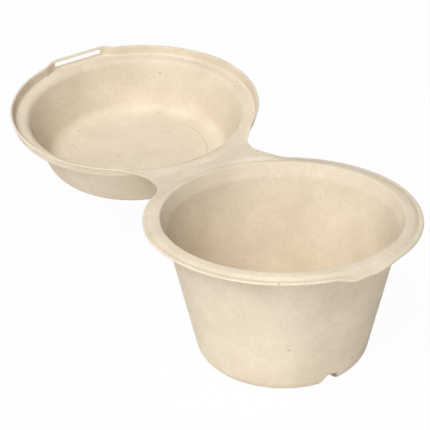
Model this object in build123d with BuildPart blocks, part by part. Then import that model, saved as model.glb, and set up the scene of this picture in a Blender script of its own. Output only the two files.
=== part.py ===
from build123d import *
import math
import os

# Moulded fibre cup with a hinged lid, standing open: the cup and its lid, split at the fold.
# Millimetres, +Z up, origin at the centre of the face that the cup stands on.
# X runs along the fold, +Y from the cup towards the lid, and the closing tab is at -Y.
# The lid is built closed on the cup, then swung open about the fold line.

os.makedirs("parts", exist_ok=True)

# cup body
foot_r = 24.8            # where the wall's line meets the standing face
mouth_r = 34.1           # outer wall line at the height of the lip
lip_z = 44.2             # top of the thin outer lip
foot_corner_r = 5.6
wall_t = 1.5
floor_t = 2.4
inner_corner_r = 4.6

# rim of the cup, from the mouth outwards
bead_w = 4.68            # from the inner wall's line to the bead's outer edge
bead_round = 2.4         # roll from the inner wall onto the bead's flat top
bead_slope = 1.2         # run of the bead's outer side
bead_h = 1.2             # bead's top over the lip
bead_edge_r = 0.7
lip_w = 1.28
rim_t = 0.9              # sheet thickness in the rim

# notch through the foot, under the tab
notch_w0 = 7.0           # width at the standing face
notch_w1 = 3.6           # width at its top
notch_h = 3.9
notch_in = 7.2           # reach inwards from the foot radius
notch_t = 1.1            # sheet over the notch
notch_corner_r = 0.8

# tab at the front of the lip
tab_w0 = 15.2            # width where it leaves the lip
tab_w1 = 11.6            # width at its edge
tab_reach = 0.8          # beyond the lip's edge
tab_drop = 1.0
tab_root = 1.4           # how far it is let into the lip

# fold line and the web on both sides of it
fold_part = 0.46523      # half the length of the fold, as a part of the rim's radius
fold_tilt = 2.25         # degrees, +X end higher
swing = 172.2            # degrees from closed to the open pose
web_angle = 36.7         # degrees round from +Y to where the web's side leaves the lip
web_t = 0.9
web_gap = 0.6            # plan clearance of the lid's skirt round the web

# lid, built upside down on the cup
lid_t = 0.5
fold_gap = 0.4           # from the lid's lip to the fold
skirt_out = 0.3          # skirt's foot beyond the cup's lip
skirt_h = 2.1            # goes down past the cup's lip when closed
skirt_run = 0.5
lid_lip_w = 0.7
lid_wall_in = 0.54       # outer wall line inside the bead's top edge, at that height
lid_face_r = 29.9        # outer wall line at the lid's outer face
lid_depth = 18.5         # from the bead's top to the lid's outer face
ledge_drop = 0.6         # rise of the ledge over the bead's top, at the lid's wall
ledge_corner_r = 0.8
lid_corner_r = 4.2       # inner corner between the lid's wall and its face
panel_in = 2.46          # from the round of that corner to the faint stepped disc
panel_h = 0.25

# flat flap with a slot, opposite the fold
slot_half = 9.3
slot_h = 1.4
slot_up = 0.15           # from the lip's sheet to the slot, when closed
slot_corner_r = 0.4
slot_side = 1.1          # flat skirt beyond each end of the slot
flat_out = 0.55          # flat skirt's foot beyond the round skirt's foot
flat_run = 0.35
flap_side = 1.0          # flap beyond each end of the flat skirt
flap_out = 0.9           # flap's edge beyond the lid's lip
flap_corner_r = 3.0

# worked out from the sizes above
wall_slope = (mouth_r - foot_r) / lip_z
wall_off = wall_t * math.hypot(1, wall_slope)
crest_z = lip_z + bead_h
crest_r = mouth_r + wall_slope * bead_h - wall_off + bead_w
groove_r = crest_r + bead_slope
rim_r = groove_r + lip_w
under_in = rim_t * math.tan(math.atan2(bead_h, bead_slope) / 2)
lid_lip_z = crest_z - skirt_h
ledge_r = rim_r + skirt_out
lid_lip_in = ledge_r + skirt_run
lid_lip_r = lid_lip_in + lid_lip_w
fold_y = lid_lip_r + fold_gap
fold_half = fold_part * rim_r
lid_mouth_r = crest_r - lid_wall_in
lid_slope = (lid_mouth_r - lid_face_r) / lid_depth
lid_off = lid_t * math.hypot(1, lid_slope)
lid_top = crest_z + lid_depth
skirt_off = lid_t * math.hypot(skirt_h, skirt_run) / skirt_h
flat_half = slot_half + slot_side
flat_y = ledge_r + flat_out
flat_off = lid_t * math.hypot(skirt_h, flat_run) / skirt_h
flap_half = flat_half + flap_side
flap_y = lid_lip_r + flap_out
reach = 2 * fold_y       # beyond everything, for cutting prisms


def wall_r(z):
    """Outer radius of the cup's wall line at a height."""
    return foot_r + wall_slope * z


def lid_wall_r(up):
    """Outer radius of the closed lid's wall line, so far over the bead's top."""
    return lid_mouth_r - lid_slope * up


def corner(r, z):
    """Filter for the corner of a profile at a radius and a height, in the profile's own plane."""
    return lambda v: abs(v.X - r) < 1e-3 and abs(v.Y - z) < 1e-3


def web_outline(outer_r, inner_r, grow):
    """Plan of the web, from an arc under the rim to the fold line, with its sides moved out."""
    turn = math.radians(web_angle)
    join_x = outer_r * math.sin(turn) + grow
    join_y = outer_r * math.cos(turn)
    inner_x = inner_r * math.sin(turn) + grow
    inner_y = math.sqrt(inner_r ** 2 - inner_x ** 2)
    side_x = fold_half + grow
    along = (-math.cos(turn), math.sin(turn))
    with BuildSketch() as outline:
        with BuildLine():
            Spline((join_x, join_y), (side_x, fold_y),
                   tangents=[along, (0, 1)])
            Line((side_x, fold_y), (-side_x, fold_y))
            Spline((-side_x, fold_y), (-join_x, join_y),
                   tangents=[(0, -1), (along[0], -along[1])])
            Line((-join_x, join_y), (-inner_x, inner_y))
            ThreePointArc((-inner_x, inner_y), (0, inner_r), (inner_x, inner_y))
            Line((inner_x, inner_y), (join_x, join_y))
        make_face()
    return outline.sketch


def fold_prism(outline, low, high):
    """The outline upright, between two heights over the tilted plane of the fold."""
    rise = reach * math.tan(math.radians(fold_tilt))
    with BuildPart() as prism:
        with BuildSketch(Plane.XZ):
            Polygon((-reach, crest_z - rise + low), (reach, crest_z + rise + low),
                    (reach, crest_z + rise + high), (-reach, crest_z - rise + high),
                    align=None)
        extrude(amount=-reach)
        with BuildSketch():
            add(outline)
        extrude(amount=reach + lid_top, mode=Mode.INTERSECT)
    return prism.part


def end_walls(outer_r, inner_r, outer_grow, inner_grow, bottom, high):
    """Walls that close the rim's cut ends at the web's sides, from a height up to the web."""
    with BuildPart() as walls:
        with BuildSketch(Plane.XY.offset(bottom)):
            Circle(outer_r)
        extrude(amount=lid_depth)
        add(fold_prism(web_outline(outer_r, inner_r, outer_grow), -reach, high),
            mode=Mode.INTERSECT)
        add(fold_prism(web_outline(outer_r, inner_r / 2, inner_grow), -reach, high),
            mode=Mode.SUBTRACT)
    return walls.part


# cup
with BuildPart() as outside:
    with BuildSketch(Plane.XZ) as profile:
        with BuildLine():
            Polyline(
                (0, 0),
                (foot_r, 0),
                (wall_r(crest_z - rim_t), crest_z - rim_t),
                (crest_r - under_in, crest_z - rim_t),
                (groove_r - under_in, lip_z - rim_t),
                (rim_r, lip_z - rim_t),
                (rim_r, lip_z),
                (groove_r, lip_z),
                (crest_r, crest_z),
                (0, crest_z),
                (0, 0))
        make_face()
        fillet(profile.vertices().filter_by(corner(foot_r, 0)), foot_corner_r)
        fillet(profile.vertices().filter_by(corner(crest_r, crest_z)), bead_edge_r)
    revolve(axis=Axis.Z)

with BuildPart() as notch_cover:
    with BuildSketch(Plane.XZ.offset(foot_r - notch_in - notch_t)):
        Polygon((-notch_w0 / 2 - notch_t, 0), (notch_w0 / 2 + notch_t, 0),
                (notch_w1 / 2 + notch_t, notch_h + notch_t),
                (-notch_w1 / 2 - notch_t, notch_h + notch_t), align=None)
    extrude(amount=foot_r)
    add(outside.part, mode=Mode.INTERSECT)

with BuildPart() as base:
    add(outside.part)
    inner_foot_r = wall_r(floor_t) - wall_off
    inner_crest_r = wall_r(crest_z) - wall_off
    with BuildSketch(Plane.XZ) as profile:
        Polygon((0, floor_t), (inner_foot_r, floor_t), (inner_crest_r, crest_z),
                (0, crest_z), align=None)
        fillet(profile.vertices().filter_by(corner(inner_foot_r, floor_t)), inner_corner_r)
    revolve(axis=Axis.Z, mode=Mode.SUBTRACT)
    mouth_edge = base.edges().filter_by(GeomType.CIRCLE).group_by(Axis.Z)[-1]
    fillet(mouth_edge.sort_by(SortBy.RADIUS)[0], bead_round)

    # the web stands at the bead's height, in place of the lip
    add(fold_prism(web_outline(rim_r, crest_r, 0), -reach, -web_t), mode=Mode.SUBTRACT)
    add(fold_prism(web_outline(rim_r, crest_r - bead_edge_r, 0), -web_t, 0))
    add(end_walls(rim_r, crest_r - bead_edge_r, 0, -web_t, lip_z - rim_t, 0))
    with BuildSketch(Plane.XY.offset(crest_z - rim_t)):
        Circle(crest_r)
        Circle(crest_r - bead_edge_r, mode=Mode.SUBTRACT)
    web_root = extrude(amount=2 * rim_t, mode=Mode.PRIVATE)
    add(web_root & fold_prism(web_outline(rim_r, crest_r - 2 * bead_edge_r, 0), -reach, 0))

    # the tab slopes down from the lip
    with BuildSketch(Plane.YZ) as profile:
        Polygon((tab_root - rim_r, lip_z), (-rim_r - tab_reach, lip_z - tab_drop),
                (-rim_r - tab_reach, lip_z - tab_drop - rim_t),
                (tab_root - rim_r, lip_z - rim_t), align=None)
    tab_strip = extrude(amount=tab_w0, both=True, mode=Mode.PRIVATE)
    with BuildSketch():
        Polygon((-tab_w0 / 2, tab_root - rim_r), (-tab_w1 / 2, -rim_r - tab_reach),
                (tab_w1 / 2, -rim_r - tab_reach), (tab_w0 / 2, tab_root - rim_r), align=None)
    tab_plan = extrude(amount=crest_z, mode=Mode.PRIVATE)
    add(tab_strip & tab_plan)

    # the notch runs in from the wall, under a cover of its own
    add(notch_cover.part)
    with BuildSketch(Plane.XZ.offset(foot_r - notch_in)) as profile:
        Polygon((-notch_w0 / 2, 0), (notch_w0 / 2, 0), (notch_w1 / 2, notch_h),
                (-notch_w1 / 2, notch_h), align=None)
        fillet(profile.vertices().group_by(Axis.Y)[-1], notch_corner_r)
    extrude(amount=foot_r, mode=Mode.SUBTRACT)

base.part.label = "base"
export_step(base.part, "parts/base.step")

# closed lid, as its outer shape less its inner shape
ledge_in = lid_wall_r(ledge_drop) - lid_off
ledge_slope = ledge_drop / (ledge_r - ledge_in)
ledge_off = lid_t * math.hypot(1, ledge_slope)
knee = ledge_drop + ledge_off
knee_r = lid_wall_r(knee)
inner_face_r = lid_wall_r(lid_depth - lid_t) - lid_off
corner_run = lid_corner_r * math.tan((math.pi / 2 - math.atan(lid_slope)) / 2)
panel_r = inner_face_r - corner_run - panel_in

with BuildPart() as lid_inside:
    with BuildSketch(Plane.XZ) as profile:
        Polygon((0, lid_lip_z), (lid_lip_in, lid_lip_z), (ledge_r, crest_z),
                (ledge_in, crest_z + ledge_drop), (inner_face_r, lid_top - lid_t),
                (panel_r, lid_top - lid_t), (panel_r - panel_h, lid_top - lid_t - panel_h),
                (0, lid_top - lid_t - panel_h), align=None)
        fillet(profile.vertices().filter_by(corner(inner_face_r, lid_top - lid_t)), lid_corner_r)
        fillet(profile.vertices().filter_by(corner(ledge_r, crest_z)), ledge_corner_r)
    revolve(axis=Axis.Z)
    with BuildSketch(Plane.YZ):
        Polygon((0, lid_lip_z), (-flat_y - flat_run, lid_lip_z), (-flat_y, crest_z),
                (0, crest_z), align=None)
    extrude(amount=flat_half, both=True)

with BuildPart() as lid_closed:
    with BuildSketch(Plane.XZ) as profile:
        Polygon((0, lid_lip_z), (lid_lip_r, lid_lip_z), (lid_lip_r, lid_lip_z + lid_t),
                (lid_lip_in + skirt_off - lid_t * skirt_run / skirt_h, lid_lip_z + lid_t),
                (ledge_r + skirt_off - lid_t * skirt_run / skirt_h, crest_z + lid_t),
                (knee_r, crest_z + knee), (lid_face_r, lid_top), (panel_r, lid_top),
                (panel_r - panel_h, lid_top - panel_h), (0, lid_top - panel_h), align=None)
        fillet(profile.vertices().filter_by(corner(lid_face_r, lid_top)), lid_corner_r + lid_t)
    revolve(axis=Axis.Z)
    with BuildSketch(Plane.YZ):
        Polygon((0, lid_lip_z), (-flat_y - flat_run - flat_off, lid_lip_z),
                (-flat_y - flat_off, crest_z), (-flat_y, crest_z + lid_t),
                (0, crest_z + lid_t), align=None)
    extrude(amount=flat_half + lid_t, both=True)
    with BuildSketch(Plane.XY.offset(lid_lip_z)) as plan:
        with Locations((0, -flap_y / 2)):
            Rectangle(2 * flap_half, flap_y)
        fillet(plan.vertices().group_by(Axis.Y)[0], flap_corner_r)
    extrude(amount=lid_t)
    add(fold_prism(web_outline(lid_lip_r, crest_r - bead_edge_r, 0), 0, lid_t))
    add(lid_inside.part, mode=Mode.SUBTRACT)

    # the web takes the place of the skirt and the lip
    add(fold_prism(web_outline(lid_lip_r, crest_r - bead_edge_r - web_gap, web_gap), -reach, 0),
        mode=Mode.SUBTRACT)
    add(end_walls(lid_lip_r, ledge_r, web_gap + lid_t, web_gap, lid_lip_z, lid_t))

    # the slot
    with BuildSketch(Plane.XZ.offset(rim_r)):
        with Locations((0, lid_lip_z + lid_t + slot_up + slot_h / 2)):
            RectangleRounded(2 * slot_half, slot_h, slot_corner_r)
    extrude(amount=reach, mode=Mode.SUBTRACT)

fold_axis = Axis((0, fold_y, crest_z),
                 (math.cos(math.radians(fold_tilt)), 0, math.sin(math.radians(fold_tilt))))

with BuildPart() as lid:
    add(lid_closed.part.rotate(fold_axis, -swing))

lid.part.label = "lid"
export_step(lid.part, "parts/lid.step")
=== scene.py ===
import math

import bmesh
import bpy
import numpy as np
from mathutils import Matrix, Vector


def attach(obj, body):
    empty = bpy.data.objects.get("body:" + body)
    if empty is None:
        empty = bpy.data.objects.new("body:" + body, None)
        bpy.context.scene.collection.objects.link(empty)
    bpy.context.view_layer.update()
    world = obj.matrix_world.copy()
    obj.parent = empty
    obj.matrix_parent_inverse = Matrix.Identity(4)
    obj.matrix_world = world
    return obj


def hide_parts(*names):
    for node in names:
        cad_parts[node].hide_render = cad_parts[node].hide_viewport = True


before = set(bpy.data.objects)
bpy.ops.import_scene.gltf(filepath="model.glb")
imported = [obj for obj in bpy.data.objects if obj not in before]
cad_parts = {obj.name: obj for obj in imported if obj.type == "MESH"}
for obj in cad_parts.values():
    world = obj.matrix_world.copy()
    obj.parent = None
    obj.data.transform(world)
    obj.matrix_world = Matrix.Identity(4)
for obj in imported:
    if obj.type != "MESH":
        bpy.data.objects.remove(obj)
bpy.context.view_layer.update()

MM = 0.001

# Sizes are in millimetres. The origin is the centre of the cup's foot, +Y points to the lid,
# and R is a radius from the cup's axis.

# cup
FOOT_R = 24.8
MOUTH_R = 34.3          # outer wall's line at the height LIP_Z
LIP_Z = 44.2
LIP_TOP = 44.6
LIP_RISE = 0.3          # how much higher the lip lies beside the web than at the tab
RISE_DONE = math.radians(90)    # both are angles from +Y
RISE_START = math.radians(140)
CREST_Z = 45.4          # bead's top, the cup's highest point but for the fold's tilt
CREST_R = 37.5          # where the flange starts
GROOVE_R = 38.5
GROOVE_IN = 1.0         # the rim's unevenness starts this far inside the groove
RIM_R = 39.98
CUP_T = 0.75
FOOT_CORNER = 4.9
FLARE_Z = 41.5
FLARE_ROUND = 6.0
BEAD_R = 35.0
BEAD_ROUND = 0.7
BEAD_TOP_R = 37.4
BEAD_TOP_FALL = 0.15
BEAD_TOP_ROUND = 1.6
GROOVE_ROUND = 0.25
SLOPE = (MOUTH_R - FOOT_R) / LIP_Z

# fold and web
FOLD_Y = 41.88
FOLD_HALF = 18.6
FOLD_ROOM = 0.006       # from each sheet's edge to the fold line
FOLD_TILT = math.radians(2.25)
SWING = math.radians(172.2)
WEB_ANGLE = math.radians(36.7)  # the fillet leaves the round edge here
WEB_FULL = math.radians(26.0)   # the sheet is flat up to here, and round again at WEB_NONE
WEB_NONE = math.radians(39.0)
WEB_REACH = 13.0        # how far the fillet holds its direction at either end
WEB_POINTS = 60
STRAIGHT_LIMIT = 1.2    # radians; the straight fold ends well before it
CUP_WEB_IN = 1.2        # the web levels out between these, inside and outside CREST_R
CUP_WEB_OUT = 0.9

# tab and flap are shaped only within this angle of -Y, in radians
FRONT_LIMIT = 0.6

# tab on the cup's lip
TAB_X = -3.0
TAB_HALF = 2.6
TAB_LEFT = 5.0          # run of its fade on each side
TAB_RIGHT = 10.5
TAB_Y = 40.78
TAB_DROP = 0.6
TAB_BEND_IN = 2.0       # the drop starts inside the rim and ends beyond the tab's edge
TAB_BEND_OUT = 0.3

# notch in the foot
NOTCH_W0 = 3.5          # half widths at its foot and its roof
NOTCH_W1 = 1.8
NOTCH_H = 4.6
NOTCH_X = -1.2
NOTCH_Y = 17.6
NOTCH_SOFT = 0.25
NOTCH_BACK = 1.6        # thicknesses from the outer wall to where the inner skin's roof ends

# lid, as it lies closed on the cup
LID_T = 0.55
LID_LIP_Z = 43.3
LID_RIM_R = 41.48
LID_LIP_IN = 40.7
LID_LIP_ROUND = 0.45
LEDGE_R = 40.2
LEDGE_UP = 1.0
LEDGE_ROLL = 2.4
LEDGE_ROUND = 0.6
LID_FLANGE_UP = 1.4     # rows this far over the ledge still belong to the flange
LID_WEB_R = 37.2
LID_WEB_IN = 0.4
LID_WEB_OUT = 2.2
LID_WALL_R = 36.96
LID_FACE_R = 29.9
LID_DEPTH = 18.5
LID_CORNER = 4.2
PANEL_R = 24.2
PANEL_H = 0.32
PANEL_RUN = 0.4
PANEL_ROUND = 0.5
LID_SLOPE = (LID_WALL_R - LID_FACE_R) / LID_DEPTH

# flat skirt and flap with the slot
FLAT_X = 1.0
FLAT_HALF = 8.4
FLAT_LEFT = 6.4
FLAT_RIGHT = 4.4
FLAT_FOOT = 0.45        # how far out it stands at the ledge, the lip's start and the edge
FLAT_TOP = 0.45
FLAT_EDGE = 0.90
FLAT_RUN = 1.6          # it starts to stand out this far inside the ledge's edge
FLAT_FROM = 2.2         # it starts to be flat, and is quite flat, this far inside that edge
FLAT_TO = 0.3
SLOT_HALF = 9.4
SLOT_Z = 44.65
SLOT_H = 1.6
SLOT_CUT = 1.2          # half the cutter's depth
SLOT_END_STEPS = 12

# meshes
STEP = 0.42             # between rows
ARC_STEPS = 5           # fewest in a rounded corner
SAME_POINT = 1e-6
SAME_ROW = 1e-4
FLANGE_SPARE = 0.1      # room in the test for the rows of the cup's flange
EDGE_ANGLES = (30, 60, 90, 120, 150)
EDGE_SIDE = 0.67        # side of the edge's first point, where 1 is the sheet's top
FINE_HALF = 20          # degrees each side of -Y
FINE_STEP = 0.4
COARSE_STEP = 0.8
SMOOTH_BELOW = 50       # degrees
WAVES = range(2, 9)     # round a rim, for its unevenness

# looks
PULP_COLOUR = (0.80, 0.705, 0.565)
SPECK_COLOUR = (0.32, 0.22, 0.13, 1.0)
FLOOR_COLOUR = (0.9, 0.9, 0.9, 1)
FLOOR_GLOW = 0.97       # share of plain white that the camera sees on the floor
FLOOR_HALF = 4          # metres
SKY_LIGHT = 0.25
LAMPS = (("key", -60, 55, 4.9), ("front", -32, 32, 1.7), ("side", -90, 32, 0.95))
LAMP_DISTANCE = 0.85
LAMP_SIZE = 0.5
LAMP_TARGET = Vector((0, 0.04, 0.03))

# camera: angles in degrees, place in rim radii of 40 mm from the centre of the mouth
IMAGE_PX = 430
FOCAL_PX = 1179.914
SENSOR = 36
CAMERA_ANGLES = (-32.536, 26.578)
CAMERA_ROLL = -1.505
CAMERA_UNIT = 0.040
CAMERA_BACK = 8.42262
CAMERA_LEFT = 0.476531
CAMERA_UP = 0.012803


def ease(low, high, x):
    """0 below low, 1 above high, smooth between."""
    t = np.clip((x - low) / (high - low), 0, 1)
    return t * t * (3 - 2 * t)


def rounded(corners):
    """A line through (r, z, radius) corners, each rounded, with points at most a STEP apart."""
    out = []
    pts = [np.array(c[:2], float) for c in corners]
    for i, p in enumerate(pts):
        radius = corners[i][2]
        if i in (0, len(pts) - 1) or radius == 0:
            out.append(p)
            continue
        a = pts[i - 1] - p
        b = pts[i + 1] - p
        a = a / np.linalg.norm(a)
        b = b / np.linalg.norm(b)
        half = math.acos(float(np.clip(a @ b, -1, 1))) / 2
        middle = p + (a + b) / np.linalg.norm(a + b) * radius / math.sin(half)
        u = p + a * radius / math.tan(half) - middle
        v = p + b * radius / math.tan(half) - middle
        turn = math.pi - 2 * half
        count = max(ARC_STEPS, int(radius * turn / STEP) + 1)
        for k in range(count + 1):
            f = k / count
            arm = math.sin((1 - f) * turn) * u + math.sin(f * turn) * v
            out.append(middle + arm / math.sin(turn))
    line = [out[0]]
    for p in out[1:]:
        gap = np.linalg.norm(p - line[-1])
        if gap < SAME_POINT:
            continue
        count = int(math.ceil(gap / STEP))
        start = line[-1]
        for k in range(1, count + 1):
            line.append(start + (p - start) * k / count)
    return np.array(line)


def beside(line, t):
    """The line moved by t to its right."""
    d = np.gradient(line, axis=0)
    d = d / np.linalg.norm(d, axis=1)[:, None]
    return line + t * np.stack([d[:, 1], -d[:, 0]], 1)


def web_edge(outer_r, phi):
    """Radius of the outer edge at an angle from +Y: straight fold, fillet, then circle."""
    fold_edge = FOLD_Y - FOLD_ROOM
    p0 = np.array([FOLD_HALF, fold_edge])
    p1 = outer_r * np.array([math.sin(WEB_ANGLE), math.cos(WEB_ANGLE)])
    m0 = np.array([0, -WEB_REACH])
    m1 = WEB_REACH * np.array([math.cos(WEB_ANGLE), -math.sin(WEB_ANGLE)])
    t = np.linspace(0, 1, WEB_POINTS)[:, None]
    curve = ((2 * t**3 - 3 * t**2 + 1) * p0 + (t**3 - 2 * t**2 + t) * m0
             + (3 * t**2 - 2 * t**3) * p1 + (t**3 - t**2) * m1)
    angle = np.arctan2(curve[:, 0], curve[:, 1])
    fillet = np.interp(phi, angle, np.hypot(curve[:, 0], curve[:, 1]))
    straight = fold_edge / np.cos(np.minimum(phi, STRAIGHT_LIMIT))
    return np.where(phi < angle[0], straight, np.where(phi < WEB_ANGLE, fillet, outer_r))


def columns():
    """Angles round the axis from -Y, closer near the tab, with one at each end of the fold."""
    fine = np.arange(-FINE_HALF, FINE_HALF, FINE_STEP)
    rest = np.arange(FINE_HALF, 360 - FINE_HALF, COARSE_STEP)
    corner = math.degrees(math.atan2(FOLD_HALF, FOLD_Y))
    every = np.concatenate([fine, rest, [180 - corner, 180 + corner]])
    return np.radians(np.unique(np.round(every, 4)))


def add_mesh(name, grid):
    """Closed skin over a grid of rows by columns, whose first and last rows lie on the axis."""
    rows, cols, _ = grid.shape
    inner = grid[1:-1].reshape(-1, 3)
    ends = np.stack([grid[0].mean(0), grid[-1].mean(0)])
    verts = np.concatenate([inner, ends]) * MM
    first = len(inner)
    last = (rows - 3) * cols
    faces = []
    for j in range(cols):
        k = (j + 1) % cols
        faces.append((first, j, k))
        for i in range(rows - 3):
            near, far = i * cols, (i + 1) * cols
            faces.append((near + j, far + j, far + k, near + k))
        faces.append((last + j, first + 1, last + k))
    mesh = bpy.data.meshes.new(name)
    mesh.from_pydata(verts.tolist(), [], faces)
    mesh.validate()
    obj = bpy.data.objects.new(name, mesh)
    bpy.context.scene.collection.objects.link(obj)
    bpy.context.view_layer.update()
    return obj


def edge_cap(top_end, under_end):
    """Half-round edge of the sheet between the last points of its two sides."""
    middle = (top_end + under_end) / 2
    arm = top_end - middle
    out = np.array([arm[1], -arm[0]])
    return np.array([middle + arm * math.cos(a) + out * math.sin(a)
                     for a in np.radians(EDGE_ANGLES)])


def loop(top, t, rim_r):
    """Rows of a sheet's closed profile, with 1 on its top, -1 underneath, between on the edge."""
    under = beside(top, t)
    under[0, 0] = 0
    apart = np.diff(under[:, 0]) ** 2 + np.diff(under[:, 1]) ** 2 > SAME_ROW ** 2
    under = under[np.r_[True, apart]]
    cap = edge_cap(top[-1], under[-1])
    rows = np.concatenate([top, cap, under[::-1]])
    side = np.concatenate([np.ones(len(top)), np.linspace(EDGE_SIDE, -EDGE_SIDE, len(cap)),
                           -np.ones(len(under))])
    rows[:, 0] = np.clip(rows[:, 0], 0, rim_r)
    return rows, side


def turned(rows, side):
    """Radius, height and side as grids of rows by columns, with three angles of each column:
    from -Y all the way round, from -Y to either side, and from +Y without a sign."""
    angle = columns()
    front = np.where(angle > math.pi, angle - 2 * math.pi, angle)
    phi = np.abs(angle - math.pi)
    phi = np.where(phi > math.pi, 2 * math.pi - phi, phi)
    r, z, s = (np.repeat(column[:, None], len(angle), 1)
               for column in (rows[:, 0], rows[:, 1], side))
    return r, z, s, angle, front, phi


def stretch(r, inner_r, outer_r, t, near):
    """How far out each row of a flange lies, with its edge's round squared off near the fold."""
    part = np.clip((r - inner_r) / (outer_r - inner_r), 0, None)
    last = (outer_r - t / 2 - inner_r) / (outer_r - inner_r)
    return part + near * (np.minimum(part / last, 1) - part)


def wobble(angle, seed, size):
    """Slow unevenness round a rim."""
    rng = np.random.default_rng(seed)
    total = np.zeros_like(angle)
    for n in WAVES:
        total += rng.normal() / n * np.cos(n * angle + rng.uniform(0, 2 * math.pi))
    return total * size


def in_front(front):
    """Whether an angle from -Y lies in the part that tab and flap may shape."""
    return np.abs(front) < FRONT_LIMIT


def front_cos(front):
    """Cosine of the angle from -Y, and 1 away from the front."""
    return np.cos(np.where(in_front(front), front, 0))


def front_part(front, across, half, left, right):
    """1 within half of a front piece's middle, fading to 0 over left or right beyond it."""
    fade = np.where(across < 0, left, right)
    return (1 - ease(half, half + fade, np.abs(across))) * in_front(front)


def cup_inner_r(z):
    return FOOT_R + SLOPE * z - CUP_T * math.hypot(1, SLOPE)


def lid_inner_r(up):
    return LID_WALL_R - LID_SLOPE * up - LID_T * math.hypot(1, LID_SLOPE)


def press_notch(y, z, x, s):
    """Channel run in through the foot, its roof and back a sheet like the rest."""
    for skin, grow in ((s < 0, 0.0), (s > 0, CUP_T)):
        back = NOTCH_Y - grow
        roof = NOTCH_H + grow
        zone = skin & (y < -back) & (z < roof)
        half = NOTCH_W0 + (NOTCH_W1 - NOTCH_W0) * np.clip(z / NOTCH_H, 0, 1) + grow
        into = (1 - ease(half - NOTCH_SOFT, half + NOTCH_SOFT, np.abs(x - NOTCH_X))) * zone
        wall = FOOT_R + SLOPE * NOTCH_H - grow * NOTCH_BACK
        depth = wall - NOTCH_Y + grow
        bottom = np.clip((-y - back) / depth, 0, 1)
        rise = np.clip(z / roof, 0, 1)
        along = (bottom + rise) / 2
        target_y = -back - depth * np.clip(2 * along - 1, 0, 1)
        target_z = roof * np.clip(2 * along, 0, 1)
        y = y + into * (target_y - y)
        z = z + into * (target_z - z)
    return y, z


def make_cup():
    top = rounded([
        (0, CUP_T, 0),
        (cup_inner_r(CUP_T), CUP_T, FOOT_CORNER),
        (cup_inner_r(FLARE_Z), FLARE_Z, FLARE_ROUND),
        (BEAD_R, CREST_Z, BEAD_ROUND),
        (BEAD_TOP_R, CREST_Z - BEAD_TOP_FALL, BEAD_TOP_ROUND),
        (GROOVE_R, LIP_TOP, GROOVE_ROUND),
        (RIM_R - CUP_T / 2, LIP_TOP, 0)])
    r, z, s, angle, front, phi = turned(*loop(top, CUP_T, RIM_R))

    # outer edge, with the web and the tab
    edge = web_edge(RIM_R, phi)
    across = RIM_R * np.sin(front) - TAB_X
    tab = front_part(front, across, TAB_HALF, TAB_LEFT, TAB_RIGHT)
    edge = edge + tab * (TAB_Y / front_cos(front) - RIM_R)

    # flange rows stretch to that edge
    near = 1 - ease(WEB_FULL, WEB_NONE, phi)
    part = stretch(r, CREST_R, RIM_R, CUP_T, near)
    r = np.where(r > CREST_R, CREST_R + part * (edge - CREST_R), r)
    x = r * np.sin(angle)
    y = -r * np.cos(angle)

    # heights on the flange: rise to the web, the web's tilted plane, tab and unevenness
    plane = CREST_Z + x * math.tan(FOLD_TILT)
    sheet_mid = plane - CUP_T * (1 - s) / 2
    flange = z > LIP_TOP - CUP_T - FLANGE_SPARE
    risen = 1 - ease(RISE_DONE, RISE_START, phi)
    z = z + LIP_RISE * risen * ease(BEAD_TOP_R, GROOVE_R, r) * flange
    web = near * ease(CREST_R - CUP_WEB_IN, CREST_R + CUP_WEB_OUT, r) * flange
    z = z + web * (sheet_mid - z)
    z = z - tab * TAB_DROP * ease(RIM_R - TAB_BEND_IN, TAB_Y + TAB_BEND_OUT, r) * flange
    uneven = wobble(angle, seed=3, size=0.07) * ease(GROOVE_R - GROOVE_IN, RIM_R, r)
    z = z + uneven * flange * (1 - web)

    y, z = press_notch(y, z, x, s)
    return add_mesh("cup_sheet", np.stack([x, y, z], 2))


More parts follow.
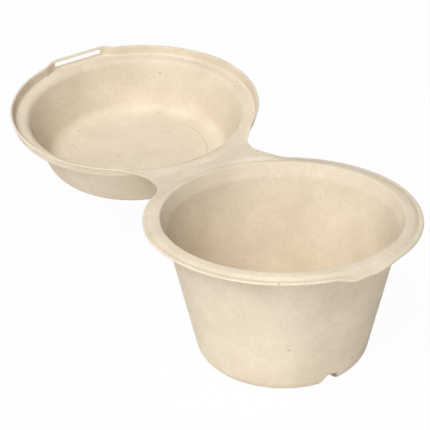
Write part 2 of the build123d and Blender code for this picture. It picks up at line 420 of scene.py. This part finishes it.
def make_lid():
    """Lid as it lies closed on the cup. Its own z runs down from the bead's top."""
    face = LID_DEPTH - LID_T
    lip = CREST_Z - LID_LIP_Z
    top = rounded([
        (0, -face + PANEL_H, 0),
        (PANEL_R - PANEL_RUN, -face + PANEL_H, PANEL_ROUND),
        (PANEL_R, -face, PANEL_ROUND),
        (lid_inner_r(face), -face, LID_CORNER),
        (lid_inner_r(LEDGE_UP), -LEDGE_UP, LEDGE_ROLL),
        (LEDGE_R, -LEDGE_UP, LEDGE_ROUND),
        (LID_LIP_IN, lip, LID_LIP_ROUND),
        (LID_RIM_R - LID_T / 2, lip, 0)])
    r, z, s, angle, front, phi = turned(*loop(top, LID_T, LID_RIM_R))

    # flange rows stretch to the web's edge
    edge = web_edge(LID_RIM_R, phi)
    near = 1 - ease(WEB_FULL, WEB_NONE, phi)
    part = stretch(r, LID_WEB_R, LID_RIM_R, LID_T, near)
    r = np.where(r > LID_WEB_R, LID_WEB_R + part * (edge - LID_WEB_R), r)

    # flat skirt and flap
    out = np.interp(r, [LEDGE_R - FLAT_RUN, LEDGE_R, LID_LIP_IN, LID_RIM_R],
                    [0, FLAT_FOOT, FLAT_TOP, FLAT_EDGE])
    across = r * np.sin(front) - FLAT_X
    flat = front_part(front, across, FLAT_HALF, FLAT_LEFT, FLAT_RIGHT)
    flat = flat * ease(LEDGE_R - FLAT_FROM, LEDGE_R - FLAT_TO, r)
    r = r + flat * ((r + out) / front_cos(front) - r)
    x = r * np.sin(angle)
    y = -r * np.cos(angle)

    # heights on the flange: the web's tilted plane and unevenness
    plane = -x * math.tan(FOLD_TILT)
    sheet_mid = plane - LID_T * (1 - s) / 2
    flange = z > -LEDGE_UP - LID_T - LID_FLANGE_UP
    web = near * ease(LID_WEB_R - LID_WEB_IN, LID_WEB_R + LID_WEB_OUT, r) * flange
    z = z + web * (sheet_mid - z)
    uneven = wobble(angle, seed=8, size=0.08) * ease(LEDGE_R, LID_LIP_IN, r)
    z = z + uneven * flange * (1 - web)
    return add_mesh("lid_sheet", np.stack([x, y, CREST_Z - z], 2))


def fold_turn():
    """Matrix that swings the closed lid open about the fold."""
    pivot = Vector((0, FOLD_Y, CREST_Z)) * MM
    axis = Vector((math.cos(FOLD_TILT), 0, math.sin(FOLD_TILT)))
    swing = Matrix.Rotation(-SWING, 4, axis)
    return Matrix.Translation(pivot) @ swing @ Matrix.Translation(-pivot)


def tidy_normals(obj):
    """Turns every face outwards."""
    bm = bmesh.new()
    bm.from_mesh(obj.data)
    bmesh.ops.recalc_face_normals(bm, faces=bm.faces)
    bm.to_mesh(obj.data)
    bm.free()


def cut_slot(lid):
    """Cuts the slot square through the flat skirt of the closed lid."""
    rise = CREST_Z - LID_LIP_Z
    foot = LEDGE_R + FLAT_FOOT
    top = LID_LIP_IN + FLAT_TOP
    centre_y = foot + (top - foot) * (CREST_Z - SLOT_Z) / rise
    down = Vector((0, -(top - foot), -rise)).normalized()
    through = Vector((1, 0, 0)).cross(down)
    end = SLOT_H / 2
    verts = []
    for depth in (-SLOT_CUT, SLOT_CUT):
        for middle, start in ((SLOT_HALF - end, -90), (end - SLOT_HALF, 90)):
            for k in range(SLOT_END_STEPS + 1):
                a = math.radians(start + 180 / SLOT_END_STEPS * k)
                p = Vector((middle + end * math.cos(a), -centre_y, SLOT_Z))
                verts.append((p + down * end * math.sin(a) + through * depth) * MM)
    n = len(verts) // 2
    faces = [tuple(range(n)), tuple(range(2 * n - 1, n - 1, -1))]
    faces += [(i, n + i, n + (i + 1) % n, (i + 1) % n) for i in range(n)]
    mesh = bpy.data.meshes.new("slot_cutter")
    mesh.from_pydata(verts, [], faces)
    mesh.validate()
    cutter = bpy.data.objects.new("slot_cutter", mesh)
    bpy.context.scene.collection.objects.link(cutter)
    tidy_normals(cutter)
    cut = lid.modifiers.new("slot", "BOOLEAN")
    cut.operation = "DIFFERENCE"
    cut.solver = "EXACT"
    cut.object = cutter
    bpy.context.view_layer.update()
    evaluated = lid.evaluated_get(bpy.context.evaluated_depsgraph_get())
    done = bpy.data.meshes.new_from_object(evaluated)
    lid.modifiers.clear()
    lid.data = done
    bpy.data.objects.remove(cutter)


def smooth(obj):
    """Smooth shading, with sharp edges where the faces turn more than SMOOTH_BELOW."""
    for face in obj.data.polygons:
        face.use_smooth = True
    obj.data.set_sharp_from_angle(angle=math.radians(SMOOTH_BELOW))


def pulp(name, seed):
    """Pressed plant fibre: fine grain, cloudy tone and a few dark specks."""
    mat = bpy.data.materials.new(name)
    mat.use_nodes = True
    nodes, links = mat.node_tree.nodes, mat.node_tree.links
    shader = nodes["Principled BSDF"]
    shader.inputs["Roughness"].default_value = 0.92
    shader.inputs["Specular IOR Level"].default_value = 0.18
    where = nodes.new("ShaderNodeTexCoord")
    shift = nodes.new("ShaderNodeMapping")
    shift.inputs["Location"].default_value = (seed, seed * 0.7, 0)
    links.new(where.outputs["Object"], shift.inputs["Vector"])

    def noise(scale, detail, rough):
        n = nodes.new("ShaderNodeTexNoise")
        n.inputs["Scale"].default_value = scale
        n.inputs["Detail"].default_value = detail
        n.inputs["Roughness"].default_value = rough
        links.new(shift.outputs["Vector"], n.inputs["Vector"])
        return n.outputs["Fac"]

    def spread(value, before, after):
        """The value's range from before, clipped, becomes the range after."""
        m = nodes.new("ShaderNodeMapRange")
        m.inputs["From Min"].default_value, m.inputs["From Max"].default_value = before
        m.inputs["To Min"].default_value, m.inputs["To Max"].default_value = after
        links.new(value, m.inputs["Value"])
        return m.outputs["Result"]

    def mix(factor, first, second, kind="MIX"):
        """Mixes two colours, each a tuple or a socket, by a number or a socket."""
        m = nodes.new("ShaderNodeMix")
        m.data_type = "RGBA"
        m.blend_type = kind
        if isinstance(factor, float):
            m.inputs["Factor"].default_value = factor
        else:
            links.new(factor, m.inputs["Factor"])
        for socket, value in (("A", first), ("B", second)):
            target = [i for i in m.inputs if i.name == socket and i.type == "RGBA"][0]
            if isinstance(value, tuple):
                target.default_value = value
            else:
                links.new(value, target)
        return [o for o in m.outputs if o.type == "RGBA"][0]

    def calc(operation, a, b):
        """Combines a socket with a number or another socket."""
        m = nodes.new("ShaderNodeMath")
        m.operation = operation
        links.new(a, m.inputs[0])
        if isinstance(b, float):
            m.inputs[1].default_value = b
        else:
            links.new(b, m.inputs[1])
        return m.outputs[0]

    # tone
    clouds = noise(scale=70.0, detail=3.0, rough=0.55)
    mottle = noise(scale=420.0, detail=4.0, rough=0.6)
    grain = noise(scale=2100.0, detail=3.0, rough=0.7)
    light = tuple(min(1.0, c * 1.05) for c in PULP_COLOUR) + (1.0,)
    dark = tuple(c * 0.90 * k for c, k in zip(PULP_COLOUR, (1.0, 0.985, 0.95))) + (1.0,)
    tone = mix(spread(clouds, (0.3, 0.7), (0.0, 1.0)), dark, light)
    tone = mix(spread(mottle, (0.35, 0.65), (0.0, 0.35)), tone, dark)
    grain_tint = mix(spread(grain, (0.3, 0.7), (0.0, 1.0)),
                     (0.90, 0.89, 0.88, 1), (1.06, 1.06, 1.06, 1))
    tone = mix(1.0, tone, grain_tint, "MULTIPLY")

    # specks: a dot in a few of the cells
    cells = nodes.new("ShaderNodeTexVoronoi")
    cells.inputs["Scale"].default_value = 330.0
    links.new(shift.outputs["Vector"], cells.inputs["Vector"])
    chosen = nodes.new("ShaderNodeSeparateColor")
    links.new(cells.outputs["Color"], chosen.inputs["Color"])
    is_dot = spread(cells.outputs["Distance"], (0.07, 0.15), (1.0, 0.0))
    is_rare = spread(chosen.outputs["Red"], (0.93, 0.935), (0.0, 0.55))
    tone = mix(calc("MULTIPLY", is_dot, is_rare), tone, SPECK_COLOUR)
    links.new(tone, shader.inputs["Base Color"])

    # relief
    fine = noise(scale=5200.0, detail=2.0, rough=0.5)
    low = calc("ADD", calc("MULTIPLY", mottle, 0.5), calc("MULTIPLY", fine, 0.25))
    height = calc("ADD", calc("MULTIPLY", grain, 0.6), low)
    bump = nodes.new("ShaderNodeBump")
    bump.inputs["Strength"].default_value = 0.55
    bump.inputs["Distance"].default_value = 0.00012
    links.new(height, bump.inputs["Height"])
    links.new(bump.outputs["Normal"], shader.inputs["Normal"])
    return mat


def backdrop(name):
    """Matt surface that looks almost plain white straight to the camera."""
    mat = bpy.data.materials.new(name)
    mat.use_nodes = True
    nodes, links = mat.node_tree.nodes, mat.node_tree.links
    shader = nodes["Principled BSDF"]
    shader.inputs["Base Color"].default_value = FLOOR_COLOUR
    shader.inputs["Roughness"].default_value = 1.0
    shader.inputs["Specular IOR Level"].default_value = 0.0
    glow = nodes.new("ShaderNodeEmission")
    glow.inputs["Color"].default_value = (1, 1, 1, 1)
    glow.inputs["Strength"].default_value = 1.0
    path = nodes.new("ShaderNodeLightPath")
    part = nodes.new("ShaderNodeMath")
    part.operation = "MULTIPLY"
    part.inputs[1].default_value = FLOOR_GLOW
    links.new(path.outputs["Is Camera Ray"], part.inputs[0])
    both = nodes.new("ShaderNodeMixShader")
    links.new(part.outputs[0], both.inputs["Fac"])
    links.new(shader.outputs[0], both.inputs[1])
    links.new(glow.outputs[0], both.inputs[2])
    links.new(both.outputs[0], nodes["Material Output"].inputs["Surface"])
    return mat


def make_floor():
    h = FLOOR_HALF
    mesh = bpy.data.meshes.new("floor")
    mesh.from_pydata([(-h, -h, 0), (h, -h, 0), (h, h, 0), (-h, h, 0)], [], [(0, 1, 2, 3)])
    mesh.materials.append(backdrop("floor_white"))
    floor = bpy.data.objects.new("floor", mesh)
    bpy.context.scene.collection.objects.link(floor)
    return floor


def make_world():
    """White to the camera, and a weaker white light on the object."""
    world = bpy.data.worlds.new("world")
    world.use_nodes = True
    bpy.context.scene.world = world
    nodes, links = world.node_tree.nodes, world.node_tree.links
    sky = nodes["Background"]
    sky.inputs["Color"].default_value = (1, 1, 1, 1)
    path = nodes.new("ShaderNodeLightPath")
    level = nodes.new("ShaderNodeMapRange")
    level.inputs["To Min"].default_value = SKY_LIGHT
    level.inputs["To Max"].default_value = 1.0
    links.new(path.outputs["Is Camera Ray"], level.inputs["Value"])
    links.new(level.outputs["Result"], sky.inputs["Strength"])


def outward(azimuth, elevation):
    """Unit vector away from the object, with the azimuth from -Y towards +X."""
    a, e = math.radians(azimuth), math.radians(elevation)
    return Vector((math.sin(a) * math.cos(e), -math.cos(a) * math.cos(e), math.sin(e)))


def make_camera():
    azimuth = math.radians(CAMERA_ANGLES[0])
    roll = math.radians(CAMERA_ROLL)
    back = outward(*CAMERA_ANGLES)
    right = Vector((math.cos(azimuth), math.sin(azimuth), 0))
    up = right.cross(-back)
    away = back * CAMERA_BACK - right * CAMERA_LEFT + up * CAMERA_UP
    place = Vector((0, 0, LIP_Z * MM)) + away * CAMERA_UNIT
    x_axis = right * math.cos(roll) + up * math.sin(roll)
    y_axis = -right * math.sin(roll) + up * math.cos(roll)
    data = bpy.data.cameras.new("photo_camera")
    data.sensor_width = SENSOR
    data.lens = FOCAL_PX / IMAGE_PX * SENSOR
    data.shift_x = -0.5 / IMAGE_PX
    data.shift_y = 0.5 / IMAGE_PX
    data.clip_start = 0.01
    data.clip_end = 50
    cam = bpy.data.objects.new("photo_camera", data)
    cam.matrix_world = Matrix((
        (x_axis.x, y_axis.x, back.x, place.x),
        (x_axis.y, y_axis.y, back.y, place.y),
        (x_axis.z, y_axis.z, back.z, place.z),
        (0, 0, 0, 1)))
    bpy.context.scene.collection.objects.link(cam)
    bpy.context.scene.camera = cam


def area_light(name, azimuth, elevation, power):
    """Round soft lamp that points at the middle of the object."""
    back = outward(azimuth, elevation)
    data = bpy.data.lights.new(name, "AREA")
    data.shape = "DISK"
    data.size = LAMP_SIZE
    data.energy = power
    obj = bpy.data.objects.new(name, data)
    obj.location = LAMP_TARGET + back * LAMP_DISTANCE
    obj.rotation_mode = "QUATERNION"
    obj.rotation_quaternion = back.to_track_quat("Z", "Y")
    bpy.context.scene.collection.objects.link(obj)


make_camera()

cup = make_cup()
tidy_normals(cup)
smooth(cup)

lid = make_lid()
tidy_normals(lid)
cut_slot(lid)
lid.data.transform(fold_turn())
smooth(lid)

cup.data.materials.append(pulp("pulp_cup", 0.0))
lid.data.materials.append(pulp("pulp_lid", 3.1))

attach(cup, "cup")
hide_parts("base")
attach(lid, "cover")
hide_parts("lid")

floor = make_floor()

make_world()
for lamp in LAMPS:
    area_light(*lamp)

bpy.context.scene.view_settings.view_transform = "Standard"
